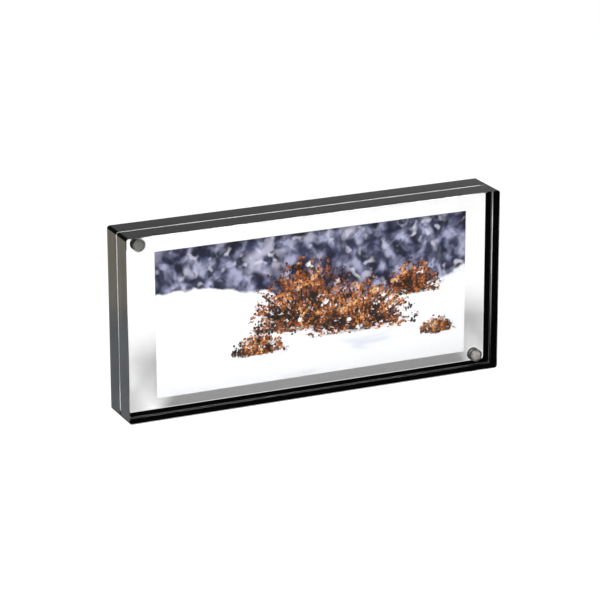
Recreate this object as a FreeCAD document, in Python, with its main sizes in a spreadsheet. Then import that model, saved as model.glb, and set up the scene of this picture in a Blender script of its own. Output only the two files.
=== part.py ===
"""Block frame: two clear blocks with blackened edges, held face to face by sunk magnets.

The frame stands on its lower edge. X runs along its length, Y from front to back and Z up.
The origin is the middle of its footprint, on the surface that it stands on. All sizes are in
millimetres.
"""
import FreeCAD, Part
import math
import os
import Sketcher
from FreeCAD import Rotation, Vector

SIZES = {
    # a clear block, without its edge film
    "block_width": 191.9,
    "block_height": 89.7,
    "block_thickness": 12.0,
    "corner_radius": 1.2,
    "facing_bevel": 0.65,
    "outer_bevel": 0.2,
    # the black film on the flat edges of a block
    "film_thickness": 0.15,
    # the print, and the clear margins that it leaves inside the block's edges
    "print_thickness": 0.25,
    "print_clearance": 0.02,
    "left_margin": 16.6,
    "right_margin": 14.5,
    "top_margin": 10.2,
    "bottom_margin": 8.1,
    # the magnets, and how far their axes lie from the block's edges
    "magnet_diameter": 6.0,
    "magnet_length": 3.0,
    "magnet_bevel": 0.25,
    "magnet_recess": 0.05,
    "magnet_side_inset": 8.5,
    "magnet_end_inset": 5.5,
    # the glued fit of a magnet in its blind pocket
    "pocket_clearance": 0.1,
    "pocket_end_clearance": 0.2,
}

# What the named sizes make together
FACING_GAP = "(Sizes.print_thickness + 2 * Sizes.print_clearance)"
POCKET_DIAMETER = "(Sizes.magnet_diameter + 2 * Sizes.pocket_clearance)"
POCKET_DEPTH = "(Sizes.magnet_recess + Sizes.magnet_length + Sizes.pocket_end_clearance)"
FLAT_LENGTH = "(Sizes.block_width - 2 * Sizes.corner_radius)"
FLAT_HEIGHT = "(Sizes.block_height - 2 * Sizes.corner_radius)"
FLAT_DEPTH = "(Sizes.block_thickness - Sizes.facing_bevel - Sizes.outer_bevel)"
MAGNET_REACH = "(Sizes.block_width / 2 - Sizes.magnet_side_inset)"

# Where each magnet's axis lies in a block: across from its middle, and up from its lower edge.
# The two magnets of a block are on one diagonal, so a turned block still finds its twin.
MAGNET_PLACES = {
    "upper": (f"-{MAGNET_REACH}", "(Sizes.block_height - Sizes.magnet_end_inset)"),
    "lower": (MAGNET_REACH, "Sizes.magnet_end_inset"),
}

# The long films lap round the block's rounded corners, and the short ones lie between them.
# Each has its place beside it: how high it lies, or how far across.
LONG_FILMS = {
    "top": "Sizes.film_thickness + Sizes.block_height",
    "bottom": "Sizes.film_thickness",
}
SHORT_FILMS = {
    "left": "-Sizes.block_width / 2 - Sizes.film_thickness",
    "right": "Sizes.block_width / 2",
}

# Each half of the frame and the way it lies from the print along Y
HALVES = {"rear": 1, "front": -1}


def make_sheet(doc):
    """Put every driving dimension in the spreadsheet, one row each."""
    sheet = doc.addObject("Spreadsheet::Sheet", "Sizes")
    for row, (alias, value) in enumerate(SIZES.items(), start=1):
        sheet.set(f"A{row}", alias)
        sheet.set(f"B{row}", str(value))
        sheet.setAlias(f"B{row}", alias)
    doc.recompute()
    return sheet


def place(item, **expressions):
    """Tie the item's place along each named axis to the named sizes."""
    for axis, expression in expressions.items():
        item.setExpression(f"Placement.Base.{axis}", expression)


def add_upright_sketch(body, name):
    """A sketch in the body's upright plane: its x is the frame's X and its y the frame's Z."""
    plane = next(item for item in body.Origin.OriginFeatures if item.Role == "XZ_Plane")
    sketch = body.newObject("Sketcher::SketchObject", name)
    sketch.AttachmentSupport = [(plane, "")]
    sketch.MapMode = "FlatFace"
    return sketch


def constrain(sketch, name, expression, kind, *where):
    """Add a named distance to the sketch and tie it to the named sizes."""
    index = sketch.addConstraint(Sketcher.Constraint(kind, *where, 1.0))
    sketch.renameConstraint(index, name)
    sketch.setExpression(f"Constraints.{name}", expression)


def draw_rectangle(sketch, width, height):
    """A closed rectangle that stands on the sketch's origin with the middle of its lower side."""
    corners = [Vector(-1, 0), Vector(1, 0), Vector(1, 1), Vector(-1, 1)]
    lines = [
        sketch.addGeometry(Part.LineSegment(start, end))
        for start, end in zip(corners, corners[1:] + corners[:1])
    ]
    for line, following in zip(lines, lines[1:] + lines[:1]):
        sketch.addConstraint(Sketcher.Constraint("Coincident", line, 2, following, 1))
    bottom, right, top, left = lines
    for line in (bottom, top):
        sketch.addConstraint(Sketcher.Constraint("Horizontal", line))
    for line in (right, left):
        sketch.addConstraint(Sketcher.Constraint("Vertical", line))
    sketch.addConstraint(Sketcher.Constraint("Symmetric", bottom, 1, bottom, 2, -1, 1))
    constrain(sketch, "width", width, "DistanceX", bottom, 1, bottom, 2)
    constrain(sketch, "height", height, "DistanceY", right, 1, right, 2)


def draw_circle(sketch, name, diameter, across, up):
    """A circle with its centre at those distances from the sketch's origin."""
    circle = sketch.addGeometry(Part.Circle(Vector(1, 1), Vector(0, 0, 1), 1))
    constrain(sketch, f"{name}_diameter", diameter, "Diameter", circle)
    constrain(sketch, f"{name}_across", across, "DistanceX", -1, 1, circle, 3)
    constrain(sketch, f"{name}_up", up, "DistanceY", -1, 1, circle, 3)


def edge_names(shape, test):
    """The names of the edges that pass the test."""
    return [f"Edge{number}" for number, edge in enumerate(shape.Edges, start=1) if test(edge)]


def rim_names(shape, depth):
    """The names of the edges that lie in the upright plane at that depth."""
    near = Part.Precision.confusion()
    return edge_names(shape, lambda edge: all(abs(end.Y - depth) < near for end in edge.Vertexes))


def corner_names(shape):
    """The names of the edges that run from the front of a block to its back."""
    near = Part.Precision.confusion()
    return edge_names(shape, lambda edge: abs(edge.firstVertex().Y - edge.lastVertex().Y) > near)


def dress(body, kind, name, base, edges, size, expression):
    """Add a fillet or a chamfer on the named edges and tie its size to the named sizes."""
    feature = body.newObject(f"PartDesign::{kind}", name)
    feature.Base = (base, edges)
    feature.setExpression(size, expression)
    body.Document.recompute()
    return feature


def make_block(doc, sizes, half, way):
    """A clear block: padded from its outline, rounded, bevelled all round, with two pockets.

    The block stands behind or in front of its own upright plane, and its facing side lies in
    that plane, where the pockets for the magnets are sunk.
    """
    body = doc.addObject("PartDesign::Body", f"{half}_block")
    outline = add_upright_sketch(body, f"{half}_block_outline")
    draw_rectangle(outline, "Sizes.block_width", "Sizes.block_height")
    pad = body.newObject("PartDesign::Pad", f"{half}_block_pad")
    pad.Profile = outline
    pad.setExpression("Length", "Sizes.block_thickness")
    # a pad from this plane runs to the front, so the rear block's is reversed
    pad.Reversed = way > 0
    doc.recompute()
    corners = dress(body, "Fillet", f"{half}_block_corners", pad,
                    corner_names(pad.Shape), "Radius", "Sizes.corner_radius")
    facing = dress(body, "Chamfer", f"{half}_block_facing_bevel", corners,
                   rim_names(corners.Shape, 0), "Size", "Sizes.facing_bevel")
    outer = dress(body, "Chamfer", f"{half}_block_outer_bevel", facing,
                  rim_names(facing.Shape, way * sizes.block_thickness), "Size",
                  "Sizes.outer_bevel")
    pockets = add_upright_sketch(body, f"{half}_block_pocket_outlines")
    for name, (across, up) in MAGNET_PLACES.items():
        draw_circle(pockets, name, POCKET_DIAMETER, across, up)
    pocket = body.newObject("PartDesign::Pocket", f"{half}_block_pockets")
    pocket.Profile = pockets
    pocket.setExpression("Length", POCKET_DEPTH)
    pocket.Reversed = way < 0
    body.Tip = pocket
    place(body, y=f"{way} * {FACING_GAP} / 2", z="Sizes.film_thickness")
    doc.recompute()
    check_pockets(outer, pocket, sizes)
    return body


def check_pockets(before, after, sizes):
    """Stop unless the pockets took their whole volume out of the block."""
    radius = sizes.magnet_diameter / 2 + sizes.pocket_clearance
    depth = sizes.magnet_recess + sizes.magnet_length + sizes.pocket_end_clearance
    expected = len(MAGNET_PLACES) * math.pi * radius ** 2 * depth
    taken = before.Shape.Volume - after.Shape.Volume
    if not math.isclose(taken, expected, rel_tol=Part.Precision.approximation()):
        raise RuntimeError(f"{after.Name} takes {taken:.3f} and not {expected:.3f}")


def draw_bent_strip(sketch, sizes):
    """The section of a long film: a flat run with a quarter turn down at each end.

    The sketch's origin is the middle of the run's underside. At each end one arc follows the
    block's corner and another lies the film's thickness outside it, about the same centre.
    """
    reach = sizes.block_width / 2 - sizes.corner_radius
    inner = sizes.corner_radius
    outer = inner + sizes.film_thickness
    below = Vector(0, -inner)
    quarter = math.pi / 2
    arcs = {}
    for way, turn in ((1, 0), (-1, quarter)):
        centre = below + Vector(way * reach, 0)
        for name, radius in (("inner", inner), ("outer", outer)):
            circle = Part.Circle(centre, Vector(0, 0, 1), radius)
            arcs[way, name] = sketch.addGeometry(Part.ArcOfCircle(circle, turn, turn + quarter))
    # an arc runs anticlockwise, so the right arcs start at their low ends and the left ones end there
    low, high = {1: 1, -1: 2}, {1: 2, -1: 1}
    for name, height in (("inner", 0), ("outer", sizes.film_thickness)):
        run = sketch.addGeometry(Part.LineSegment(Vector(-reach, height), Vector(reach, height)))
        sketch.addConstraint(Sketcher.Constraint("Coincident", run, 1, arcs[-1, name], high[-1]))
        sketch.addConstraint(Sketcher.Constraint("Coincident", run, 2, arcs[1, name], high[1]))
    for way in (1, -1):
        near = below + Vector(way * (reach + inner), 0)
        far = below + Vector(way * (reach + outer), 0)
        end = sketch.addGeometry(Part.LineSegment(near, far))
        for point, name in ((1, "inner"), (2, "outer")):
            arc = arcs[way, name]
            sketch.addConstraint(Sketcher.Constraint("Coincident", end, point, arc, low[way]))
            sketch.addConstraint(Sketcher.Constraint("Horizontal", arc, low[way], arc, 3))
            sketch.addConstraint(Sketcher.Constraint("Vertical", arc, high[way], arc, 3))
        sketch.addConstraint(
            Sketcher.Constraint("Coincident", arcs[way, "inner"], 3, arcs[way, "outer"], 3))
        side = "right" if way > 0 else "left"
        constrain(sketch, f"{side}_across", f"{way} * {FLAT_LENGTH} / 2",
                  "DistanceX", -1, 1, arcs[way, "inner"], 3)
        constrain(sketch, f"{side}_up", "-Sizes.corner_radius",
                  "DistanceY", -1, 1, arcs[way, "inner"], 3)
        constrain(sketch, f"{side}_inner", "Sizes.corner_radius", "Radius", arcs[way, "inner"])
        constrain(sketch, f"{side}_outer", "Sizes.corner_radius + Sizes.film_thickness",
                  "Radius", arcs[way, "outer"])


def make_long_film(doc, sizes, half, way, side):
    """The film on a block's upper or lower edge, which laps round both corners.

    It is drawn for the upper edge, and turned over for the lower one.
    """
    body = doc.addObject("PartDesign::Body", f"{half}_{side}_film")
    section = add_upright_sketch(body, f"{half}_{side}_film_section")
    draw_bent_strip(section, sizes)
    pad = body.newObject("PartDesign::Pad", f"{half}_{side}_film_pad")
    pad.Profile = section
    pad.setExpression("Length", FLAT_DEPTH)
    pad.Reversed = way > 0
    if side == "bottom":
        body.Placement.Rotation = Rotation(Vector(0, 1, 0), 180)
    place(body, y=f"{way} * ({FACING_GAP} / 2 + Sizes.facing_bevel)", z=LONG_FILMS[side])
    return body


def make_short_film(doc, half, way, side):
    """The film on a block's left or right edge, between the ends of the long ones."""
    nearest = f"{FACING_GAP} / 2 + Sizes.facing_bevel"
    film = doc.addObject("Part::Box", f"{half}_{side}_film")
    film.setExpression("Length", "Sizes.film_thickness")
    film.setExpression("Width", FLAT_DEPTH)
    film.setExpression("Height", FLAT_HEIGHT)
    # a box grows from its front, which is the side away from the print on the front block
    place(film, x=SHORT_FILMS[side], y=nearest if way > 0 else f"-({nearest} + {FLAT_DEPTH})",
          z="Sizes.film_thickness + Sizes.corner_radius")
    return film


def make_magnet(doc, sizes, half, way, level):
    """A disc magnet with bevelled rims, set a little back in its pocket."""
    across, up = MAGNET_PLACES[level]
    body = doc.addObject("PartDesign::Body", f"{half}_{level}_magnet")
    outline = add_upright_sketch(body, f"{half}_{level}_magnet_outline")
    draw_circle(outline, "rim", "Sizes.magnet_diameter", "0", "0")
    pad = body.newObject("PartDesign::Pad", f"{half}_{level}_magnet_pad")
    pad.Profile = outline
    pad.setExpression("Length", "Sizes.magnet_length")
    pad.Reversed = way > 0
    doc.recompute()
    rims = rim_names(pad.Shape, 0) + rim_names(pad.Shape, way * sizes.magnet_length)
    body.Tip = dress(body, "Chamfer", f"{half}_{level}_magnet_bevel", pad,
                     rims, "Size", "Sizes.magnet_bevel")
    place(body, x=across, y=f"{way} * ({FACING_GAP} / 2 + Sizes.magnet_recess)",
          z=f"Sizes.film_thickness + {up}")
    return body


def make_print(doc):
    """The print, a thin card that the two blocks clamp, with its own place between them."""
    body = doc.addObject("PartDesign::Body", "print_insert")
    outline = add_upright_sketch(body, "print_outline")
    draw_rectangle(outline,
                   "Sizes.block_width - Sizes.left_margin - Sizes.right_margin",
                   "Sizes.block_height - Sizes.top_margin - Sizes.bottom_margin")
    pad = body.newObject("PartDesign::Pad", "print_pad")
    pad.Profile = outline
    pad.Midplane = True
    pad.setExpression("Length", "Sizes.print_thickness")
    place(body, x="(Sizes.left_margin - Sizes.right_margin) / 2",
          z="Sizes.film_thickness + Sizes.bottom_margin")
    return body


def make_pieces(doc, sizes):
    """Every piece of the frame, each with its own name."""
    pieces = []
    for half, way in HALVES.items():
        pieces.append(make_block(doc, sizes, half, way))
        pieces.extend(make_long_film(doc, sizes, half, way, side) for side in LONG_FILMS)
        pieces.extend(make_short_film(doc, half, way, side) for side in SHORT_FILMS)
        pieces.extend(make_magnet(doc, sizes, half, way, level) for level in MAGNET_PLACES)
    pieces.append(make_print(doc))
    for piece in pieces:
        piece.Label = piece.Name
    return pieces


def check(doc, pieces):
    """Stop if anything in the document failed or a piece has no sound shape."""
    for item in doc.Objects:
        if {"Invalid", "Error"} & set(item.State):
            raise RuntimeError(f"{item.Name} failed: {item.State}")
    for piece in pieces:
        if piece.Shape.isNull() or not piece.Shape.isValid():
            raise RuntimeError(f"{piece.Label} has no valid shape")
        if len(piece.Shape.Solids) != 1:
            raise RuntimeError(f"{piece.Label} is not one solid")


def main():
    doc = FreeCAD.newDocument("BlockFrame")
    sizes = make_sheet(doc)
    pieces = make_pieces(doc, sizes)
    doc.recompute()
    check(doc, pieces)
    os.makedirs("parts", exist_ok=True)
    for piece in pieces:
        piece.Shape.exportStep(f"parts/{piece.Label}.step")
        box = piece.Shape.BoundBox
        print(f"{piece.Label}: {box.XLength:.2f} x {box.YLength:.2f} x {box.ZLength:.2f}, "
              f"from {box.XMin:.2f}, {box.YMin:.2f}, {box.ZMin:.2f}")


main()
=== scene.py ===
"""Two clear blocks with black edges, held face to face by magnets around a floating print.

Lengths are in metres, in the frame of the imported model: X runs along the frame's length, Y from
front to back and Z up, and the frame stands on Z = 0.
"""
import math

import bmesh
import bpy
import numpy as np
from bpy.props import FloatProperty, FloatVectorProperty, PointerProperty
from mathutils import Matrix, Vector


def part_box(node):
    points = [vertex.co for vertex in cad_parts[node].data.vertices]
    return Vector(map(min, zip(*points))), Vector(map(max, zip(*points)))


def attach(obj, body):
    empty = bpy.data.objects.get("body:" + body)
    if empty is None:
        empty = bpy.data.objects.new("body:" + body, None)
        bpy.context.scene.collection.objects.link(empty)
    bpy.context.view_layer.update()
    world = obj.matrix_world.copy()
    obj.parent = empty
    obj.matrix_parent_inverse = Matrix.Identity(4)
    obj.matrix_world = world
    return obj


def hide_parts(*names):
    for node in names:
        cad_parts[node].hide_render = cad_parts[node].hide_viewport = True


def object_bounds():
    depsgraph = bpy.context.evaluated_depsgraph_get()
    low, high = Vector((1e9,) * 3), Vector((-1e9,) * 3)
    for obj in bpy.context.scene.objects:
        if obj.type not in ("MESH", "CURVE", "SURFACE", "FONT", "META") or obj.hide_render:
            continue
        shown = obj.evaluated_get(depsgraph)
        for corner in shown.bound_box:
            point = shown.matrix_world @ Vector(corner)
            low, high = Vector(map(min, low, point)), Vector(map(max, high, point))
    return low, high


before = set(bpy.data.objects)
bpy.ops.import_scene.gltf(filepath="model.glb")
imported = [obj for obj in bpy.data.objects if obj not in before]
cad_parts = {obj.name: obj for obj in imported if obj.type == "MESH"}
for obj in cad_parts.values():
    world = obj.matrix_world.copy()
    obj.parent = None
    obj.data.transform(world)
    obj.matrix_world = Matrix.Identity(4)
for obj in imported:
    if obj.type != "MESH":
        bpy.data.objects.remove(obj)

bl_info = {
    "name": "Block frame",
    "version": (1, 0, 0),
    "blender": (4, 5, 0),
    "location": "View3D > Sidebar > Block Frame",
    "description": "Dresses a magnetic block frame of clear acrylic and sets its stage",
    "category": "Object",
}

MM = 0.001
HALVES = ("rear", "front")
SIDES = ("top", "bottom", "left", "right")
LEVELS = ("upper", "lower")
CAD_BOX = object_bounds()

# How many steps a quarter corner, a round pocket and a magnet are turned in
CORNER_STEPS = 8
POCKET_STEPS = 48
MAGNET_STEPS = 64

# The print's shrubs: where each meets the snow, and how far it spreads, in sheet heights
SHRUBS = (
    ((1.86, 0.47), (0.22, 0.24)),
    ((1.06, 0.33), (0.40, 0.50)),
    ((1.47, 0.27), (0.42, 0.36)),
    ((0.72, 0.20), (0.20, 0.16)),
    ((2.04, 0.17), (0.13, 0.13)),
)


def linear(code):
    """The linear colour of an sRGB hex code, with an alpha of 1."""
    values = np.array([int(code[place:place + 2], 16) for place in (1, 3, 5)]) / 255
    light = np.where(values <= 0.04045, values / 12.92, ((values + 0.055) / 1.055) ** 2.4)
    return (*(float(value) for value in light), 1.0)


def hue(name, description, code):
    """A colour setting with an sRGB hex default."""
    return FloatVectorProperty(name=name, description=description, subtype="COLOR", size=4,
                               min=0, max=1, default=linear(code))


class AcrylicSettings(bpy.types.PropertyGroup):
    """Sizes and finish of the clear blocks."""

    corner_radius: FloatProperty(
        name="Corner radius", description="Round of the block's four corners, seen from the front",
        default=1.2 * MM, unit="LENGTH")
    facing_bevel: FloatProperty(
        name="Facing bevel", description="Leg of the bare bevel beside the seam",
        default=0.65 * MM, unit="LENGTH")
    outer_bevel: FloatProperty(
        name="Outer bevel", description="Leg of the bare bevel round the outer face",
        default=0.2 * MM, unit="LENGTH")
    bond: FloatProperty(
        name="Bond", description="How far the block reaches into the film that is bonded to it",
        default=0.05 * MM, unit="LENGTH")
    pocket_clearance: FloatProperty(
        name="Pocket clearance", description="Room round a magnet in its pocket",
        default=0.1 * MM, unit="LENGTH")
    pocket_end: FloatProperty(
        name="Pocket end", description="Room past a magnet's inner end",
        default=0.2 * MM, unit="LENGTH")
    ior: FloatProperty(name="IOR", description="How strongly the acrylic bends light",
                       default=1.49, min=1, max=2)
    tint: hue("Tint", "Colour of the acrylic over its depth", "#fefefe")
    scrape: hue("Scrape", "Colour of a scraped bevel from outside", "#989898")
    # From inside its block the bevel is painted: painted shade low down, painted light higher up
    painted_shade_low: hue("Scrape inside", "Colour of a low scraped bevel, from inside", "#161616")
    painted_light_high: hue("Scrape above", "Colour of a high scraped bevel, from inside", "#b4b4b4")


class FilmSettings(bpy.types.PropertyGroup):
    """Finish of the black film on the blocks' flat edges."""

    colour: hue("Colour", "Black of the film", "#050506")
    roughness: FloatProperty(name="Roughness", description="Sheen of the film",
                             default=0.16, min=0, max=1)
    streak: FloatProperty(name="Streak spacing", description="Distance between rolling streaks",
                          default=0.5 * MM, unit="LENGTH")


class MagnetSettings(bpy.types.PropertyGroup):
    """Finish of the nickel-plated magnets."""

    colour: hue("Colour", "Reflected colour of the nickel plating", "#f4f1e8")
    roughness: FloatProperty(name="Roughness", description="Sheen of the plating",
                             default=0.42, min=0, max=1)
    rim_radius: FloatProperty(name="Rim radius", description="Round of the magnet's rims",
                              default=0.45 * MM, unit="LENGTH")
    glue: hue("Glue", "Colour of the glue round the magnet", "#3a3a37")
    glue_depth: FloatProperty(
        name="Glue depth", description="Thickness of the glue, with what it wets",
        default=0.12 * MM, unit="LENGTH")


class PrintSettings(bpy.types.PropertyGroup):
    """Colours of the print's winter landscape and of its paper."""

    snow: hue("Snow", "Sunlit snow", "#f3f4f6")
    snow_shade: hue("Snow shade", "Snow in the shade of a slope", "#cfd3e2")
    woods_dark: hue("Dark woods", "Depth of the winter woods", "#1c1e30")
    woods_middle: hue("Middle woods", "Haze of the winter woods", "#6c6e88")
    woods_pale: hue("Pale woods", "Frost on the winter woods", "#b2b1c6")
    leaf: hue("Leaf", "Dry leaves that catch the sun", "#c67a38")
    leaf_shade: hue("Leaf shade", "Dry leaves in the shade", "#6d3a1c")
    stem: hue("Stem", "Twigs and stems", "#17120f")
    paper: hue("Paper", "Back of the photo paper", "#eeedea")
    density: FloatProperty(
        name="Density", description="How much darker the print is made than its colours",
        default=0.38, min=0, max=1)


class StageSettings(bpy.types.PropertyGroup):
    """Camera, light and what the glossy surfaces mirror."""

    azimuth: FloatProperty(name="Azimuth", description="Where the camera stands round the frame",
                           default=math.radians(-24.32), unit="ROTATION")
    elevation: FloatProperty(name="Elevation", description="How high the camera stands",
                             default=math.radians(18.07), unit="ROTATION")
    roll: FloatProperty(name="Roll", description="How far the camera tilts to its right",
                        default=math.radians(0.17), unit="ROTATION")
    distance: FloatProperty(name="Distance", description="Camera to the middle of the frame",
                            default=1.3791, unit="LENGTH")
    lens: FloatProperty(name="Lens", description="Focal length on a sensor 36 mm wide",
                        default=174.29)
    aside: FloatProperty(name="Aside", description="How far the camera stands to the left",
                         default=3.64 * MM, unit="LENGTH")
    below: FloatProperty(name="Below", description="How far the camera stands low",
                         default=0.66 * MM, unit="LENGTH")
    key_power: FloatProperty(name="Key power", description="Power of the softbox",
                             default=85.0, unit="POWER")
    key_azimuth: FloatProperty(name="Key azimuth", description="Where the softbox hangs",
                               default=math.radians(-25), unit="ROTATION")
    key_elevation: FloatProperty(name="Key elevation", description="How high the softbox hangs",
                                 default=math.radians(43), unit="ROTATION")
    strip_power: FloatProperty(name="Strip power", description="Power of the overhead strip",
                               default=9.0, unit="POWER")
    floor: hue("Floor", "Pale paper of the floor", "#f6f6f6")
    # Painted reflection: the colours that the floor glows with for mirrored rays only
    painted_card: hue("Card", "Black card before the frame, in mirrors", "#2a2a2a")
    cool: hue("Cool floor", "Floor just behind the frame, in mirrors", "#c6cbd0")
    warm: hue("Warm floor", "Floor further back, in mirrors", "#e8e1d0")
    room: hue("Room", "Light of the room from all sides", "#959595")
    wall: hue("Wall", "Wall behind the frame, in mirrors", "#9d9d9d")


SETTINGS = {
    "acrylic": AcrylicSettings,
    "film": FilmSettings,
    "magnets": MagnetSettings,
    "print": PrintSettings,
    "stage": StageSettings,
}


def add(tree, kind, settings=None, inputs=None):
    """Add a node with its settings. An input takes a number, a colour, a node or a socket.

    Inputs are named, or numbered where a node has several of one name. A node stands for its
    first working output.
    """
    node = tree.nodes.new(kind)
    for name, value in (settings or {}).items():
        setattr(node, name, value)
    for key, value in (inputs or {}).items():
        working = [socket for socket in node.inputs if socket.enabled]
        if isinstance(key, str):
            socket = next(item for item in working if item.name == key)
        else:
            socket = working[key]
        if isinstance(value, bpy.types.Node):
            value = next(item for item in value.outputs if item.enabled)
        if isinstance(value, bpy.types.NodeSocket):
            tree.links.new(value, socket)
        else:
            socket.default_value = value
    return node


def calc(tree, operation, *values):
    """A sum on numbers, nodes or sockets."""
    return add(tree, "ShaderNodeMath", {"operation": operation}, dict(enumerate(values)))


def separated(tree, place):
    """The three coordinates of a place, as a node with the outputs X, Y and Z."""
    return add(tree, "ShaderNodeSeparateXYZ", inputs={"Vector": place})


def from_zero(tree, across, up):
    """How far a place lies from zero, from two of its coordinates."""
    return calc(tree, "SQRT", calc(tree, "MULTIPLY_ADD", across, across,
                                   calc(tree, "MULTIPLY", up, up)))


def blend(tree, share, under, over):
    """One colour laid over another by a share."""
    return add(tree, "ShaderNodeMix", {"data_type": "RGBA"},
               {"Factor": share, "A": under, "B": over})


def mixed(tree, share, under, over):
    """One shader laid over another by a share."""
    return add(tree, "ShaderNodeMixShader", inputs={0: share, 1: under, 2: over})


def glow(tree, colour, strength=1.0):
    """A shader that shines in its own colour."""
    return add(tree, "ShaderNodeEmission", inputs={"Color": colour, "Strength": strength})


def show(tree, output, shader):
    """Give a material or the world its finished shader."""
    tree.links.new(shader.outputs[0], output.inputs["Surface"])


def spread(tree, value, low, high, start=0.3, end=0.7):
    """A value carried over from the range start to end to the range low to high."""
    return add(tree, "ShaderNodeMapRange", inputs={
        "Value": value, "From Min": start, "From Max": end, "To Min": low, "To Max": high})


def smooth(tree, value, start, end):
    """A value that eases from 0 at the start to 1 at the end."""
    return add(tree, "ShaderNodeMapRange", {"interpolation_type": "SMOOTHSTEP"}, {
        "Value": value, "From Min": start, "From Max": end})


def noise(tree, place, size, detail=2.0, seed=0.0):
    """A soft noise about one half, whose grain has that size. Another seed gives another one."""
    return add(tree, "ShaderNodeTexNoise", {"noise_dimensions": "4D"}, {
        "Vector": place, "W": seed, "Scale": 1 / size, "Detail": detail})


def scaled(tree, place, scale):
    """The place, scaled along each axis."""
    return add(tree, "ShaderNodeMapping", inputs={"Vector": place, "Scale": scale})


def warped(tree, place, size, reach, seed=0.0):
    """The place, pushed about by a noise of that size, up to about that far."""
    push = noise(tree, place, size, seed=seed).outputs["Color"]
    centred = add(tree, "ShaderNodeVectorMath", {"operation": "SUBTRACT"},
                  {0: push, 1: (0.5, 0.5, 0.5)})
    return add(tree, "ShaderNodeVectorMath", {"operation": "MULTIPLY_ADD"},
               {0: centred, 1: (2 * reach, 2 * reach, 0.0), 2: place})


def round_corners(tree, place):
    """1 on the four round corners of the frame, seen from the front, and 0 elsewhere."""
    mask_starts, mask_is_full = 1.5 * MM, 1.2 * MM
    parts = separated(tree, place)
    low, high = CAD_BOX
    middle = (low + high) / 2
    reaches = []
    for axis, centre, end in (("X", middle.x, high.x), ("Z", middle.z, high.z)):
        away = calc(tree, "ABSOLUTE", calc(tree, "SUBTRACT", parts.outputs[axis], centre))
        reach = end - centre
        reaches.append(smooth(tree, away, reach - mask_starts, reach - mask_is_full))
    return calc(tree, "MULTIPLY", *reaches)


def ramp(tree, value, stops):
    """A colour ramp through the stops, which are pairs of a place and a colour."""
    node = add(tree, "ShaderNodeValToRGB", inputs={"Fac": value})
    elements = node.color_ramp.elements
    for element, (position, colour) in zip(elements, (stops[0], stops[-1])):
        element.position = position
        element.color = colour
    for position, colour in stops[1:-1]:
        elements.new(position).color = colour
    return node


def new_material(name):
    """An empty material: the material, its tree, its output and its object coordinates."""
    material = bpy.data.materials.new(name)
    material.use_nodes = True
    tree = material.node_tree
    tree.nodes.clear()
    output = add(tree, "ShaderNodeOutputMaterial")
    return material, tree, output, add(tree, "ShaderNodeTexCoord").outputs["Object"]


def let_lamps_through(tree, output, glass):
    """Show the glass, but let rays from lamps pass it unbent, as thick clear glass nearly does."""
    path = add(tree, "ShaderNodeLightPath")
    passing = calc(tree, "MAXIMUM", path.outputs["Is Shadow Ray"], path.outputs["Is Diffuse Ray"])
    clear = add(tree, "ShaderNodeBsdfTransparent", inputs={"Color": linear("#f9f9f9")})
    show(tree, output, mixed(tree, passing, glass, clear))


def polished_acrylic(settings):
    """Cast acrylic, diamond polished: clear and sharp, with the faintest ripple in its gloss."""
    material, tree, output, place = new_material("cast_acrylic_polished")
    bump = add(tree, "ShaderNodeBump", inputs={
        "Height": noise(tree, place, 45 * MM, 1.0), "Strength": 0.04, "Distance": 0.05 * MM})
    glass = add(tree, "ShaderNodeBsdfPrincipled", inputs={
        "Base Color": settings.tint, "Roughness": 0.0, "IOR": settings.ior,
        "Transmission Weight": 1.0, "Normal": bump})
    let_lamps_through(tree, output, glass)
    return material


def buffed_acrylic(settings):
    """Acrylic where a bevel was buffed after cutting: clear, with a slight haze in patches.

    From inside the block it glows white: a painted glow that stands in for the light that the
    block gathers and lets out there.
    """
    material, tree, output, place = new_material("cast_acrylic_buffed_bevel")
    glass = add(tree, "ShaderNodeBsdfPrincipled", inputs={
        "Base Color": settings.tint, "IOR": settings.ior, "Transmission Weight": 1.0,
        "Roughness": spread(tree, noise(tree, place, 2 * MM, 3.0), 0.02, 0.08)})
    # painted glow: a white emission, seen from inside the block
    painted_glow = glow(tree, linear("#ffffff"))
    inside = add(tree, "ShaderNodeNewGeometry").outputs["Backfacing"]
    skin = mixed(tree, calc(tree, "MULTIPLY", inside, 0.7), glass, painted_glow)
    let_lamps_through(tree, output, skin)
    return material


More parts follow.
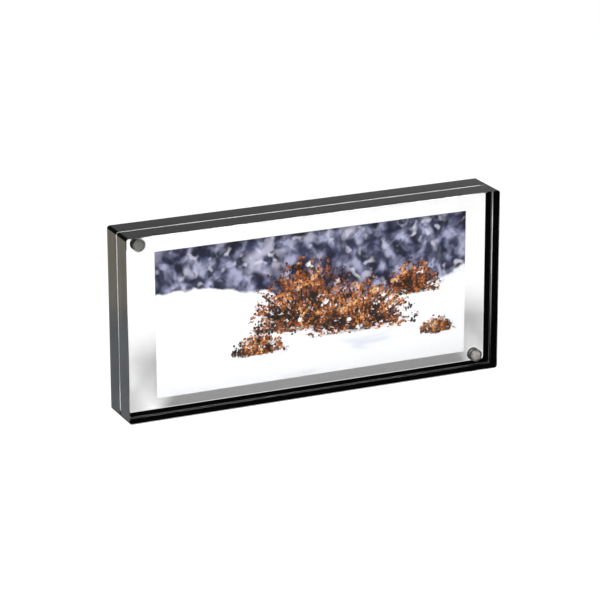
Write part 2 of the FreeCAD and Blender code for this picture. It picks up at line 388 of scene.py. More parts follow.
def scraped_acrylic(settings):
    """Acrylic where a bevel was scraped along the arris: silky, with fine streaks along it.

    From outside it has a painted lit colour: painted light makes it brightest near the foot,
    and painted shade makes it dark round the corners and through the other block. From inside
    its own block it is a painted shaded copy, dull and darker lower down, where less light gets
    in. Beside the facing side the painted shade is nearly black from inside.
    """
    material, tree, output, place = new_material("cast_acrylic_scraped_bevel")
    grain = noise(tree, scaled(tree, place, (0.05, 1.0, 0.05)), 0.3 * MM, 3.0)
    parts = separated(tree, place)
    height = parts.outputs["Z"]
    # painted light: lighter near the foot, fading to the scrape colour higher up
    painted_light_full_below, painted_light_gone_above = 20 * MM, 70 * MM
    painted_light_by_height = blend(tree, smooth(tree, height, painted_light_full_below, painted_light_gone_above), linear("#cccccc"),
                 settings.scrape)
    lit = blend(tree, calc(tree, "MULTIPLY", smooth(tree, grain, 0.35, 0.65), 0.5), painted_light_by_height,
                linear("#787878"))
    # painted shade: dark round the corners and where the bevel is seen through the other block
    through = add(tree, "ShaderNodeLightPath").outputs["Is Transmission Ray"]
    painted_dark_share = calc(tree, "MAXIMUM", through, round_corners(tree, place))
    lit = blend(tree, painted_dark_share, lit, linear("#181818"))
    inside = add(tree, "ShaderNodeNewGeometry").outputs["Backfacing"]
    # painted shade from inside the block: dark low down, lighter higher up
    painted_shade_inside = blend(tree, smooth(tree, height, 0.0, 80 * MM), settings.painted_shade_low,
                        settings.painted_light_high)
    from_seam = calc(tree, "ABSOLUTE", parts.outputs["Y"])
    # painted shade: nearly black from inside, beside the facing side
    black_ends, dull_starts = 0.35 * MM, 0.6 * MM
    painted_shade_inside = blend(tree, smooth(tree, from_seam, black_ends, dull_starts),
                        linear("#040404"), painted_shade_inside)
    shade = blend(tree, inside, lit, painted_shade_inside)
    glass = add(tree, "ShaderNodeBsdfPrincipled", inputs={
        "Base Color": shade, "Roughness": spread(tree, grain, 0.22, 0.4), "IOR": settings.ior,
        "Transmission Weight": 1.0})
    # the painted shade, as a dull diffuse seen from inside
    dull = add(tree, "ShaderNodeBsdfDiffuse", inputs={"Color": painted_shade_inside})
    skin = mixed(tree, calc(tree, "MULTIPLY", inside, 0.8), glass, dull)
    let_lamps_through(tree, output, skin)
    return material


def milled_acrylic(settings):
    """Acrylic where a pocket was milled: frosted, with the grain that the cutter left."""
    material, tree, output, place = new_material("cast_acrylic_milled_pocket")
    glass = add(tree, "ShaderNodeBsdfPrincipled", inputs={
        "Base Color": settings.tint, "IOR": settings.ior, "Transmission Weight": 1.0,
        "Roughness": spread(tree, noise(tree, place, 0.4 * MM, 3.0), 0.2, 0.4)})
    let_lamps_through(tree, output, glass)
    return material


def edge_film(settings):
    """Hot-stamped black film: semi-gloss, with streaks that the roller left along the edge.

    The streaks are long along X and Z, the ways that it was rolled, and fine across the block's
    thickness. They change how much it mirrors, and each roller pass left its own sheen. Round
    the corners the film is stretched, and dull.
    """
    material, tree, output, place = new_material("hot_stamped_black_film")
    rolled = scaled(tree, place, (0.02, 1.0, 0.02))
    streaks = noise(tree, rolled, settings.streak, 4.0)
    passes = noise(tree, rolled, settings.streak * 6, 1.0, 3.0)
    patches = noise(tree, place, 14 * MM, 2.0, 5.0)
    sheen = calc(tree, "MULTIPLY_ADD", passes, 0.8,
                 calc(tree, "MULTIPLY_ADD", patches, 0.4, streaks))
    dullest, shiniest = 0.8, 1.4
    flat = calc(tree, "SUBTRACT", 1.0, round_corners(tree, place))
    bump = add(tree, "ShaderNodeBump", inputs={
        "Height": streaks, "Strength": 0.12, "Distance": 0.02 * MM})
    skin = add(tree, "ShaderNodeBsdfPrincipled", inputs={
        "Base Color": blend(tree, streaks, settings.colour, linear("#0c0c0b")),
        "Roughness": spread(tree, sheen, settings.roughness * 0.6, settings.roughness * 1.5,
                            dullest, shiniest),
        "Specular IOR Level": calc(tree, "MULTIPLY", flat,
                                   spread(tree, sheen, 0.15, 0.85, dullest, shiniest)),
        "IOR": 1.5, "Normal": bump})
    show(tree, output, skin)
    return material


def bonded_film():
    """The film's side that is bonded to the acrylic: dead black, for no gloss is left there."""
    material, tree, output, place = new_material("bonded_black_pigment")
    skin = add(tree, "ShaderNodeBsdfPrincipled", inputs={
        "Base Color": blend(tree, noise(tree, place, 3 * MM), linear("#010101"),
                            linear("#040404")),
        "Roughness": 0.9, "Specular IOR Level": 0.0})
    show(tree, output, skin)
    return material


def nickel_plating(settings):
    """Nickel plating on a sintered magnet: silky metal with a fine pebble from the sinter.

    A painted highlight brightens the middle of each end, and painted shade darkens the plating
    towards the rim, by the distance from the magnets' axes. These lie alike about the middle of
    the frame.
    """
    material, tree, output, place = new_material("nickel_plated_sintered_magnet")
    parts = separated(tree, place)
    low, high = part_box("rear_upper_magnet")
    centre = (low + high) / 2
    middle = (CAD_BOX[0] + CAD_BOX[1]) / 2
    across = calc(tree, "SUBTRACT", calc(tree, "ABSOLUTE", parts.outputs["X"]), abs(centre.x))
    height = calc(tree, "ABSOLUTE", calc(tree, "SUBTRACT", parts.outputs["Z"], middle.z))
    up = calc(tree, "SUBTRACT", height, abs(centre.z - middle.z))
    # painted highlight in the middle of each end, painted shade towards the rim
    painted_highlight_ends, painted_rim_shade_starts = 1.5 * MM, 2.7 * MM
    colour = blend(tree, smooth(tree, from_zero(tree, across, up), painted_highlight_ends, painted_rim_shade_starts),
                   settings.colour, linear("#8b8983"))
    pebble = noise(tree, place, 0.5 * MM, 4.0)
    bump = add(tree, "ShaderNodeBump", inputs={
        "Height": pebble, "Strength": 0.2, "Distance": 0.02 * MM})
    metal = add(tree, "ShaderNodeBsdfPrincipled", inputs={
        "Base Color": colour, "Metallic": 1.0, "Normal": bump,
        "Roughness": spread(tree, pebble, settings.roughness * 0.8, settings.roughness * 1.2)})
    show(tree, output, metal)
    return material


def pocket_glue(settings):
    """Set glue round a magnet: dark grey with a mottle, and matt.

    It is painted paler round the upper magnets: painted light that lifts the shade they lie in.
    """
    material, tree, output, place = new_material("cured_epoxy_glue")
    mottle = noise(tree, place, 0.8 * MM, 3.0)
    # painted light: the glue turns paler round the upper magnets
    lower_ends, upper_starts = 40 * MM, 50 * MM
    upper = smooth(tree, separated(tree, place).outputs["Z"], lower_ends, upper_starts)
    mottled_glue = blend(tree, smooth(tree, mottle, 0.35, 0.65), settings.glue, linear("#4c4c47"))
    skin = add(tree, "ShaderNodeBsdfPrincipled", inputs={
        "Base Color": blend(tree, upper, mottled_glue, linear("#8e8e88")),
        "Roughness": 0.5, "Specular IOR Level": 0.0})
    show(tree, output, skin)
    return material


def winter_woods(tree, place, settings):
    """Woods out of focus: dark depths, hazy boughs, and soft spots where frost takes the light.

    place is in sheet heights. Noises push each other about for the boughs, and two finer noises
    give the large spots and the small ones, kept where a slow noise sets the open groves.
    """
    boughs = noise(tree, warped(tree, place, 0.12, 0.05, 1.0), 0.10, 2.5, 2.0)
    haze = ramp(tree, boughs, (
        (0.39, settings.woods_dark), (0.47, linear("#373a55")), (0.55, settings.woods_middle),
        (0.63, linear("#9fa0bb"))))
    grove = smooth(tree, noise(tree, place, 0.30, 2.0, 6.0), 0.42, 0.56)
    large = smooth(tree, noise(tree, warped(tree, place, 0.08, 0.02, 4.0), 0.08, 0.5, 3.0),
                   0.54, 0.72)
    small = smooth(tree, noise(tree, place, 0.045, 0.0, 5.0), 0.56, 0.76)
    frosted = blend(tree, calc(tree, "MULTIPLY", large, calc(tree, "MULTIPLY", grove, 0.9)), haze,
                    settings.woods_pale)
    return blend(tree, calc(tree, "MULTIPLY", small, calc(tree, "MULTIPLY", grove, 0.8)), frosted,
                 linear("#d2d0de"))


def snow_field(tree, place, settings):
    """Snow in the sun, with faint blue folds that run across the slope."""
    folds = noise(tree, scaled(tree, warped(tree, place, 0.5, 0.08, 8.0), (0.8, 3.4, 1.0)),
                  0.5, 3.0, 9.0)
    shade = calc(tree, "MULTIPLY", smooth(tree, folds, 0.56, 0.74), 0.7)
    return blend(tree, shade, settings.snow, settings.snow_shade)


def shrub(tree, place, foot, reach, seed, settings, beneath):
    """A shrub of dry leaves on fanned stems, laid over the colour beneath it.

    foot is where the stems meet the snow, and reach how far they spread across and up, all in
    sheet heights. Polar coordinates about the foot, with the reach as their unit, give the fan:
    stems lie at cells of the angle, and the crown ends where a ragged radius does. Leaves are
    the cells of a mosaic, in layers over a dark thicket, each kept where its random share is
    low enough.
    """
    parts = separated(tree, warped(tree, place, 0.09, 0.02, seed))
    across = calc(tree, "DIVIDE", calc(tree, "SUBTRACT", parts.outputs["X"], foot[0]), reach[0])
    up = calc(tree, "DIVIDE", calc(tree, "SUBTRACT", parts.outputs["Y"], foot[1]), reach[1])
    radius = from_zero(tree, across, up)
    angle = calc(tree, "ARCTAN2", across, up)
    ragged = calc(tree, "MULTIPLY_ADD", noise(tree, place, 0.05, 3.0, seed + 1), 1.0, radius)
    crown = calc(tree, "MULTIPLY", smooth(tree, ragged, 1.55, 1.25),
                 smooth(tree, up, -0.06, 0.06))
    thicket = calc(tree, "MULTIPLY", smooth(tree, ragged, 1.45, 1.0),
                   smooth(tree, noise(tree, place, 0.03, 3.0, seed + 6), 0.4, 0.5))
    thicket = calc(tree, "MULTIPLY", thicket, smooth(tree, up, -0.02, 0.1))
    fan = add(tree, "ShaderNodeTexVoronoi", {"voronoi_dimensions": "1D"}, {
        "W": calc(tree, "MULTIPLY_ADD", angle, 6.0, seed), "Scale": 1.0})
    width = calc(tree, "MULTIPLY", fan.outputs["Distance"], radius)
    stems = calc(tree, "MULTIPLY", smooth(tree, width, 0.12, 0.07), crown)
    colour = blend(tree, thicket, beneath, linear("#5a3216"))
    colour = blend(tree, stems, colour, settings.stem)
    clumps = calc(tree, "SUBTRACT", noise(tree, place, 0.10, 2.0, seed + 8), 0.53)
    for layer, (size, share) in enumerate(((0.024, 0.62), (0.019, 0.55), (0.021, 0.5))):
        leaves = add(tree, "ShaderNodeTexVoronoi", {"voronoi_dimensions": "2D"}, {
            "Vector": warped(tree, place, 0.014, 0.008, seed + 2 + layer), "Scale": 1 / size})
        random = separated(tree, leaves.outputs["Color"])
        kept = calc(tree, "LESS_THAN", random.outputs["X"], calc(tree, "MULTIPLY", crown, share))
        leaf = calc(tree, "MULTIPLY", smooth(tree, leaves.outputs["Distance"], 0.52, 0.4), kept)
        tone = calc(tree, "MULTIPLY_ADD", up, 0.2,
                    calc(tree, "MULTIPLY", random.outputs["Y"], 0.75))
        tone = calc(tree, "MULTIPLY_ADD", clumps, 2.6, calc(tree, "SUBTRACT", tone, 0.05))
        colour = blend(tree, leaf, colour, ramp(tree, tone, (
            (0.1, settings.stem), (0.3, settings.leaf_shade), (0.5, linear("#9a5020")),
            (0.72, settings.leaf), (0.93, linear("#e6b47a")))))
    # snow lies in the crown where a coarse noise is high
    caught = calc(tree, "MULTIPLY", crown, smooth(
        tree, noise(tree, warped(tree, place, 0.04, 0.02, seed + 9), 0.07, 2.0, seed + 10),
        0.64, 0.69))
    return blend(tree, caught, colour, settings.snow)


def photo_print(settings):
    """Resin-coated photo paper with a satin face: shrubs on a winter slope below hazy woods."""
    material, tree, output, _ = new_material("resin_coated_photo_print")
    place = add(tree, "ShaderNodeUVMap", {"uv_map": "picture"})
    parts = separated(tree, place)
    # the wood's lower edge swings slowly across the sheet and frays a little
    swing = calc(tree, "SINE", calc(tree, "MULTIPLY_ADD", parts.outputs["X"], 2.3, 1.2))
    edge = calc(tree, "MULTIPLY_ADD", swing, 0.11, 0.6)
    frayed = calc(tree, "MULTIPLY_ADD", noise(tree, place, 0.12, 4.0, 12.0), 0.12,
                  calc(tree, "SUBTRACT", parts.outputs["Y"], edge))
    colour = blend(tree, smooth(tree, frayed, 0.05, 0.075), snow_field(tree, place, settings),
                   winter_woods(tree, place, settings))
    for number, (foot, reach) in enumerate(SHRUBS):
        colour = shrub(tree, place, foot, reach, 20.0 + 7 * number, settings, colour)
    colour = blend(tree, settings.density, colour, linear("#000000"))
    face = add(tree, "ShaderNodeBsdfPrincipled", inputs={
        "Base Color": colour, "Roughness": 0.4, "Specular IOR Level": 0.3})
    show(tree, output, face)
    return material


def paper_back(settings):
    """The back of photo paper: matt white resin over fibres that cloud it a little."""
    material, tree, output, place = new_material("photo_paper_back")
    face = add(tree, "ShaderNodeBsdfPrincipled", inputs={
        "Base Color": blend(tree, noise(tree, place, 2 * MM, 4.0), settings.paper,
                            linear("#e4e3df")),
        "Roughness": 0.55})
    show(tree, output, face)
    return material


def put_in_scene(mesh, name, body, replaced):
    """Make the mesh a piece that rides on a body and stands for a node."""
    mesh.validate()
    piece = bpy.data.objects.new(name, mesh)
    bpy.context.scene.collection.objects.link(piece)
    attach(piece, body)
    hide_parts(replaced)
    return piece


def carry_profile(outline, profile):
    """Points of a profile carried round an outline, as an array of rings.

    The outline gives, for each of its points, the centre that it turns about and the direction
    away from it. Ring i is centre + reach[i] * direction, at depth[i] along Y.
    """
    centres, directions = outline
    rings = []
    for reach, depth in profile:
        flat = centres + reach * directions
        rings.append(np.column_stack((flat[:, 0], np.full(len(flat), depth), flat[:, 1])))
    return np.array(rings)


def rounded_outline(half_width, half_height, radius, middle, steps):
    """Centres and directions of a rounded rectangle, anticlockwise seen along +Y from the front.

    Each corner sweeps a quarter turn about its own centre in equal steps.
    """
    turns = np.linspace(0, math.pi / 2, steps + 1)
    centres, directions = [], []
    for corner, (across, up) in enumerate(((1, 1), (-1, 1), (-1, -1), (1, -1))):
        angle = turns + corner * math.pi / 2
        centre = middle + np.array((across * (half_width - radius), up * (half_height - radius)))
        centres.append(np.tile(centre, (steps + 1, 1)))
        directions.append(np.column_stack((np.cos(angle), np.sin(angle))))
    return np.concatenate(centres), np.concatenate(directions)


def middle_of(box):
    """The middle of a box, seen from the front: its X and its Z."""
    low, high = box
    return np.array(((low.x + high.x) / 2, (low.z + high.z) / 2))


def ring_of(middle, steps):
    """Centres and directions of a circle about the middle."""
    angle = np.linspace(0, 2 * math.pi, steps, endpoint=False)
    directions = np.column_stack((np.cos(angle), np.sin(angle)))
    return np.tile(middle, (steps, 1)), directions


def quad_strips(rings, steps):
    """Faces between neighbouring rings, each of that many points in a closed outline."""
    grid = np.arange(rings * steps).reshape(rings, steps)
    after = np.roll(grid, -1, axis=1)
    return np.stack((grid[:-1], after[:-1], after[1:], grid[1:]), axis=-1).reshape(-1, 4)


def mesh_from(name, points, faces, materials, surface):
    """A mesh of points and faces, where surface numbers the material of each face."""
    mesh = bpy.data.meshes.new(name)
    mesh.from_pydata(points, [], faces)
    for material in materials:
        mesh.materials.append(material)
    mesh.polygons.foreach_set("material_index", surface)
    return mesh


def join_rings(mesh, here, there, surface):
    """Close the strip between two rings of vertices, in one material."""
    for step in range(len(here)):
        after = (step + 1) % len(here)
        face = mesh.faces.new((here[step], here[after], there[after], there[step]))
        face.material_index = surface


def finish_mesh(mesh, smooth_below=math.radians(28)):
    """Turn every face outwards, and shade smooth except across sharp edges."""
    shape = bmesh.new()
    shape.from_mesh(mesh)
    bmesh.ops.recalc_face_normals(shape, faces=shape.faces)
    shape.to_mesh(mesh)
    shape.free()
    mesh.shade_smooth()
    mesh.set_sharp_from_angle(angle=smooth_below)


def block_mesh(name, settings, half, materials):
    """A clear block: a bevelled section carried round a rounded rectangle, with two pockets.

    The section runs from the facing side through the facing bevel, along the edge and through
    the outer bevel. Between the bevels it lies a bond's depth outside the true edge, in the film.
    """
    low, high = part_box(f"{half}_block")
    way = 1 if half == "rear" else -1
    facing, outer = (low.y, high.y) if way > 0 else (high.y, low.y)
    outline = rounded_outline((high.x - low.x) / 2, (high.z - low.z) / 2,
                              settings.corner_radius, middle_of((low, high)), CORNER_STEPS)
    radius, bond = settings.corner_radius, settings.bond
    profile = (
        (radius - settings.facing_bevel, facing),
        (radius + bond, facing + way * (settings.facing_bevel + bond)),
        (radius + bond, outer - way * (settings.outer_bevel + bond)),
        (radius - settings.outer_bevel, outer),
    )
    mesh = bmesh.new()
    rings = carry_profile(outline, profile)
    points = [[mesh.verts.new(point) for point in ring] for ring in rings]
    surface = {kind: index for index, kind in enumerate(materials)}
    for kind, here, there in zip(("scraped", "polished", "buffed"), points, points[1:]):
        join_rings(mesh, here, there, surface[kind])
    mesh.faces.new(points[-1]).material_index = surface["polished"]
    mouths = []
    for level in LEVELS:
        wall = pocket_rings(half, level, settings, facing, way)
        turned = [[mesh.verts.new(point) for point in ring] for ring in wall]
        for here, there in zip(turned, turned[1:]):
            join_rings(mesh, here, there, surface["milled"])
        mesh.faces.new(turned[-1]).material_index = surface["milled"]
        mouths.append(turned[0])
    rims = []
    for ring in [points[0], *mouths]:
        rims.extend(mesh.edges.get(ends) for ends in zip(ring, ring[1:] + ring[:1]))
    filled = bmesh.ops.triangle_fill(mesh, edges=rims, use_beauty=True, use_dissolve=False)
    for item in filled["geom"]:
        if isinstance(item, bmesh.types.BMFace):
            item.material_index = surface["polished"]
    data = bpy.data.meshes.new(name)
    mesh.to_mesh(data)
    mesh.free()
    for material in materials.values():
        data.materials.append(material)
    finish_mesh(data)
    return data


def pocket_rings(half, level, settings, facing, way):
    """Rings of a blind pocket: a straight wall, a small round and the flat end that it meets."""
    low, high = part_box(f"{half}_{level}_magnet")
    radius = (high.x - low.x) / 2 + settings.pocket_clearance
    inner = (high.y if way > 0 else low.y) + way * settings.pocket_end
    turn = np.linspace(0, math.pi / 2, 4)
    corner = 0.3 * MM
    profile = [(radius, facing)]
    profile.extend(zip(radius - corner + corner * np.cos(turn),
                       inner - way * corner + way * corner * np.sin(turn)))
    return carry_profile(ring_of(middle_of((low, high)), POCKET_STEPS), profile)


def film_mesh(name, radius, half, side, materials):
    """A strip of film: a thin rectangular section carried along its side of a block.

    The long films follow the round of both their corners, and the short ones are straight.
    """
    low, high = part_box(f"{half}_{side}_film")
    block_low, block_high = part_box(f"{half}_block")
    centres, directions = rounded_outline(
        (block_high.x - block_low.x) / 2, (block_high.z - block_low.z) / 2, radius,
        middle_of((block_low, block_high)), CORNER_STEPS)
    corner = len(centres) // 4
    spans = {"top": np.arange(0, 2 * corner), "left": np.arange(2 * corner - 1, 2 * corner + 1),
             "bottom": np.arange(2 * corner, 4 * corner), "right": np.array((4 * corner - 1, 0))}
    span = spans[side]
    if side in ("top", "bottom"):
        thickness = (high.z - low.z) - radius
    else:
        thickness = high.x - low.x
    section = ((radius, low.y), (radius + thickness, low.y),
               (radius + thickness, high.y), (radius, high.y))
    rings = carry_profile((centres[span], directions[span]), section)
    points = np.swapaxes(rings, 0, 1)
    stations = len(points)
    strips = quad_strips(stations, len(section))
    faces = [tuple(face) for face in strips.tolist()]
    faces.append(tuple(range(len(section))))
    faces.append(tuple(range((stations - 1) * len(section), stations * len(section))))
    # the last face of each station's four lies against the block
    surface = np.zeros(len(faces), dtype=int)
    surface[3:len(strips):4] = 1
    data = mesh_from(name, points.reshape(-1, 3), faces, materials, surface)
    finish_mesh(data)
    return data


def magnet_mesh(name, settings, half, level, materials):
    """A disc magnet turned about its axis: a flat end with a small quarter round at the seam,
    and over the side and the other rim the glue that fills its pocket and wets its wall."""
    low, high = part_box(f"{half}_{level}_magnet")
    radius, length = (high.x - low.x) / 2, high.y - low.y
    rim = settings.rim_radius
    turn = np.linspace(0, math.pi / 2, 5)
    seam = list(zip(radius - rim + rim * np.cos(turn), rim - rim * np.sin(turn)))
    glued, glue_starts = radius + settings.glue_depth, 0.03 * MM
    # from the seam's end inwards: the depth is taken from the facing side
    profile = [*reversed(seam), (glued, glue_starts), (glued, length - settings.glue_depth),
               (radius - rim, length)]
    facing, way = (low.y, 1) if half == "rear" else (high.y, -1)
    profile = [(reach, facing + way * depth) for reach, depth in profile]
    rings = carry_profile(ring_of(middle_of((low, high)), MAGNET_STEPS), profile)
    steps = rings.shape[1]
    faces = [tuple(face) for face in quad_strips(len(rings), steps).tolist()]
    faces.append(tuple(range(steps)))
    faces.append(tuple(range((len(rings) - 1) * steps, len(rings) * steps)))
    # all but the flat end and the round at the seam is glue
    surface = np.zeros(len(faces), dtype=int)
    surface[(len(seam) - 1) * steps:(len(rings) - 1) * steps] = 1
    data = mesh_from(name, rings.reshape(-1, 3), faces, materials, surface)
    finish_mesh(data, math.radians(40))
    return data


def print_mesh(name, materials):
    """The print: a flat sheet with the picture on its front, white on its back and rim."""
    low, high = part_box("print_insert")
    corners = np.array([(x, y, z) for y in (low.y, high.y)
                        for x, z in ((low.x, low.z), (high.x, low.z), (high.x, high.z),
                                     (low.x, high.z))])
    faces = [(0, 1, 2, 3), (7, 6, 5, 4), (0, 4, 5, 1), (1, 5, 6, 2), (2, 6, 7, 3), (3, 7, 4, 0)]
    data = mesh_from(name, corners, faces, materials, [0, 1, 1, 1, 1, 1])
    # the picture's map runs from 0 to 1 up the sheet, and as far across in the same scale
    ends = np.empty(len(data.loops), dtype=int)
    data.loops.foreach_get("vertex_index", ends)
    flat = (corners[ends][:, (0, 2)] - (low.x, low.z)) / (high.z - low.z)
    data.uv_layers.new(name="picture").data.foreach_set("uv", flat.ravel())
    finish_mesh(data)
    return data


class BLOCKFRAME_OT_blocks(bpy.types.Operator):
    """Make the two clear blocks, with polished faces, scraped bevels and milled pockets"""

    bl_idname = "blockframe.blocks"
    bl_label = "Clear blocks"

    def execute(self, context):
        settings = context.scene.block_frame_acrylic
        materials = {
            "polished": polished_acrylic(settings),
            "buffed": buffed_acrylic(settings),
            "scraped": scraped_acrylic(settings),
            "milled": milled_acrylic(settings),
        }
        for half in HALVES:
            data = block_mesh(f"{half}_clear_block", settings, half, materials)
            put_in_scene(data, f"{half}_clear_block", f"{half}_half",
                         f"{half}_block")
        return {"FINISHED"}


class BLOCKFRAME_OT_films(bpy.types.Operator):
    """Make the black film on the edges of both blocks"""

    bl_idname = "blockframe.films"
    bl_label = "Edge films"

    def execute(self, context):
        materials = edge_film(context.scene.block_frame_film), bonded_film()
        radius = context.scene.block_frame_acrylic.corner_radius
        for half in HALVES:
            for side in SIDES:
                name = f"{half}_{side}_edge_film"
                data = film_mesh(name, radius, half, side, materials)
                put_in_scene(data, name, f"{half}_half", f"{half}_{side}_film")
        return {"FINISHED"}


class BLOCKFRAME_OT_magnets(bpy.types.Operator):
    """Make the four disc magnets"""

    bl_idname = "blockframe.magnets"
    bl_label = "Magnets"

    def execute(self, context):
        settings = context.scene.block_frame_magnets
        materials = nickel_plating(settings), pocket_glue(settings)
        for half in HALVES:
            for level in LEVELS:
                name = f"{half}_{level}_disc_magnet"
                data = magnet_mesh(name, settings, half, level, materials)
                put_in_scene(data, name, f"{half}_half",
                             f"{half}_{level}_magnet")
        return {"FINISHED"}


class BLOCKFRAME_OT_print(bpy.types.Operator):
    """Make the floating print with its winter landscape"""

    bl_idname = "blockframe.print"
    bl_label = "Print"

    def execute(self, context):
        settings = context.scene.block_frame_print
        materials = photo_print(settings), paper_back(settings)
        data = print_mesh("floating_print", materials)
        put_in_scene(data, "floating_print", "print", "print_insert")
        return {"FINISHED"}


class BLOCKFRAME_OT_stage(bpy.types.Operator):
    """Set the pale floor, the soft light and the camera"""

    bl_idname = "blockframe.stage"
    bl_label = "Stage"

    def execute(self, context):
        settings = context.scene.block_frame_stage
        make_floor(settings)
        make_world(context.scene, settings)
        make_lights(context.scene, settings)
        make_camera(context.scene, settings)
        context.scene.view_settings.view_transform = "Standard"
        return {"FINISHED"}


def mirrored_rays(tree, path):
    """1 for rays that some surface on their way mirrored, and 0 for others."""
    mirrored = calc(tree, "MINIMUM", path.outputs["Glossy Depth"], 1.0)
    return calc(tree, "MULTIPLY", mirrored,
                calc(tree, "SUBTRACT", 1.0, path.outputs["Is Diffuse Ray"]))


def floor_paper(settings):
    """Pale paper. The camera sees it as bright as it is in full light, with a faint shadow.

    Through the acrylic its shadow is darker, with a lesser share of the white. Mirrored rays see
    a painted reflection instead, a glow by place: dark before the frame, standing for a black
    card that keeps its front clear of glare, and behind it cool, like paper, giving way to warm,
    like boards.
    """
    material, tree, output, place = new_material("pale_floor_paper")
    path = add(tree, "ShaderNodeLightPath")
    parts = separated(tree, place)
    paper = add(tree, "ShaderNodeBsdfDiffuse", inputs={"Color": settings.floor})
    white_in_view, white_through_acrylic = 0.85, 0.15
    share = calc(tree, "MULTIPLY_ADD", path.outputs["Is Camera Ray"], white_in_view,
                 calc(tree, "MULTIPLY", path.outputs["Is Transmission Ray"],
                      white_through_acrylic))
    seen = mixed(tree, share, paper, glow(tree, linear("#ffffff"), 1.05))
    # painted reflection: what mirrored rays see is a glow by place, not lit paper
    cool_ends, warm_starts = 0.13, 0.17
    behind = blend(tree, smooth(tree, parts.outputs["Y"], cool_ends, warm_starts), settings.cool,
                   settings.warm)
    painted_card_back, painted_card_left = -12.3 * MM, -0.1
    before = calc(tree, "LESS_THAN", parts.outputs["Y"], painted_card_back)
    beside = calc(tree, "GREATER_THAN", parts.outputs["X"], painted_card_left)
    painted_reflection = blend(tree, calc(tree, "MULTIPLY", before, beside), behind, settings.painted_card)
    show(tree, output, mixed(tree, mirrored_rays(tree, path), seen, glow(tree, painted_reflection)))
    return material


def make_floor(settings):
    """A flat sheet of paper, far larger than the view, that the frame stands on."""
    reach = 4.0
    corners = [(-reach, -reach, 0), (reach, -reach, 0), (reach, reach, 0), (-reach, reach, 0)]
    mesh = mesh_from("floor", corners, [(0, 1, 2, 3)], [floor_paper(settings)], [0])
    floor = bpy.data.objects.new("floor", mesh)
    bpy.context.scene.collection.objects.link(floor)


def make_world(scene, settings):
    """A dim room, white to the camera. Mirrored, it is grey near the horizon and black above.

    Rays that leave the acrylic nearly level find the white backdrop.
    """
    world = bpy.data.worlds.new("studio")
    scene.world = world
    world.use_nodes = True
    tree = world.node_tree
    tree.nodes.clear()
    output = add(tree, "ShaderNodeOutputWorld")
    path = add(tree, "ShaderNodeLightPath")
    up = separated(tree, add(tree, "ShaderNodeTexCoord").outputs["Generated"]).outputs["Z"]
    grey_ends, black_starts = math.sin(math.radians(20)), math.sin(math.radians(24))
    wall = blend(tree, smooth(tree, up, grey_ends, black_starts), settings.wall,
                 linear("#0d0d0d"))
    room_starts, backdrop_ends = 0.35, 0.25
    level = calc(tree, "MULTIPLY", smooth(tree, up, room_starts, backdrop_ends),
                 path.outputs["Is Transmission Ray"])
    backdrop = blend(tree, level, settings.room, linear("#e4e4e4"))
    colour = blend(tree, mirrored_rays(tree, path), backdrop, wall)
    shown = blend(tree, path.outputs["Is Camera Ray"], colour, linear("#ffffff"))
    back = add(tree, "ShaderNodeBackground", inputs={"Color": shown, "Strength": 1.0})
    show(tree, output, back)


def direction(azimuth, elevation):
    """The way from the frame to a place round it. Azimuth 0 is in front, and grows to the right."""
    return Vector((math.sin(azimuth) * math.cos(elevation),
                   -math.cos(azimuth) * math.cos(elevation), math.sin(elevation)))


def aim(item, place, target):
    """Put a lamp at a place, shining at the target."""
    item.location = place
    item.rotation_euler = (target - place).to_track_quat("-Z", "Y").to_euler()


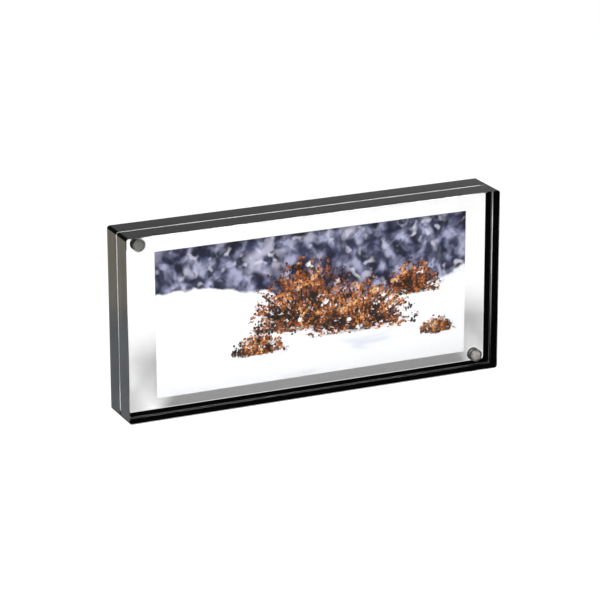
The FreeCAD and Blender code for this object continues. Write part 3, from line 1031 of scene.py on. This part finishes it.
def make_lights(scene, settings):
    """A softbox in front, to the left and above, and a strip overhead that only glints.

    The strip hangs where the seam's upper bevel mirrors it to the camera.
    """
    lamp = bpy.data.lights.new("key_softbox", "AREA")
    lamp.shape = "SQUARE"
    lamp.size = 0.7
    lamp.energy = settings.key_power
    key = bpy.data.objects.new("key_softbox", lamp)
    scene.collection.objects.link(key)
    away = 2.0
    aim(key, away * direction(settings.key_azimuth, settings.key_elevation),
        Vector((0, 0, 0.04)))
    lamp = bpy.data.lights.new("overhead_strip", "AREA")
    lamp.shape = "RECTANGLE"
    lamp.size = 0.5
    lamp.size_y = 0.3
    lamp.energy = settings.strip_power
    strip = bpy.data.objects.new("overhead_strip", lamp)
    scene.collection.objects.link(strip)
    strip.visible_diffuse = False
    strip.visible_transmission = False
    above = Vector((0, 0, CAD_BOX[1].z))
    towards_strip = Vector((0.39, -0.29, 0.87))
    aim(strip, above + 1.2 * towards_strip, above)


def make_camera(scene, settings):
    """The camera, where lines fitted to the photograph's edges put it."""
    data = bpy.data.cameras.new("camera")
    data.lens = settings.lens
    data.sensor_width = 36.0
    camera = bpy.data.objects.new("camera", data)
    scene.collection.objects.link(camera)
    scene.camera = camera
    back = direction(settings.azimuth, settings.elevation)
    right = Vector((math.cos(settings.azimuth), math.sin(settings.azimuth), 0))
    up = back.cross(right)
    low, high = CAD_BOX
    middle = (low + high) / 2
    place = middle + back * settings.distance - right * settings.aside - up * settings.below
    camera.matrix_world = (Matrix.Translation(place)
                           @ Matrix((right, up, back)).transposed().to_4x4()
                           @ Matrix.Rotation(-settings.roll, 4, "Z"))


class BLOCKFRAME_PT_sidebar(bpy.types.Panel):
    """Steps that dress the frame, in order, with their settings"""

    bl_label = "Block Frame"
    bl_idname = "BLOCKFRAME_PT_sidebar"
    bl_space_type = "VIEW_3D"
    bl_region_type = "UI"
    bl_category = "Block Frame"

    def draw(self, context):
        for step in STEPS:
            self.layout.operator(step.bl_idname)
        for name, group in SETTINGS.items():
            box = self.layout.box()
            box.label(text=name.title())
            for setting in group.__annotations__:
                box.prop(getattr(context.scene, f"block_frame_{name}"), setting)


STEPS = (
    BLOCKFRAME_OT_blocks,
    BLOCKFRAME_OT_films,
    BLOCKFRAME_OT_magnets,
    BLOCKFRAME_OT_print,
    BLOCKFRAME_OT_stage,
)


def register():
    for item in (*SETTINGS.values(), *STEPS, BLOCKFRAME_PT_sidebar):
        bpy.utils.register_class(item)
    for name, group in SETTINGS.items():
        setattr(bpy.types.Scene, f"block_frame_{name}", PointerProperty(type=group))


def unregister():
    for name in SETTINGS:
        delattr(bpy.types.Scene, f"block_frame_{name}")
    for item in reversed((*SETTINGS.values(), *STEPS, BLOCKFRAME_PT_sidebar)):
        bpy.utils.unregister_class(item)


def main():
    register()
    for step in STEPS:
        group, name = step.bl_idname.split(".")
        getattr(getattr(bpy.ops, group), name)()


if __name__ == "__main__":
    main()
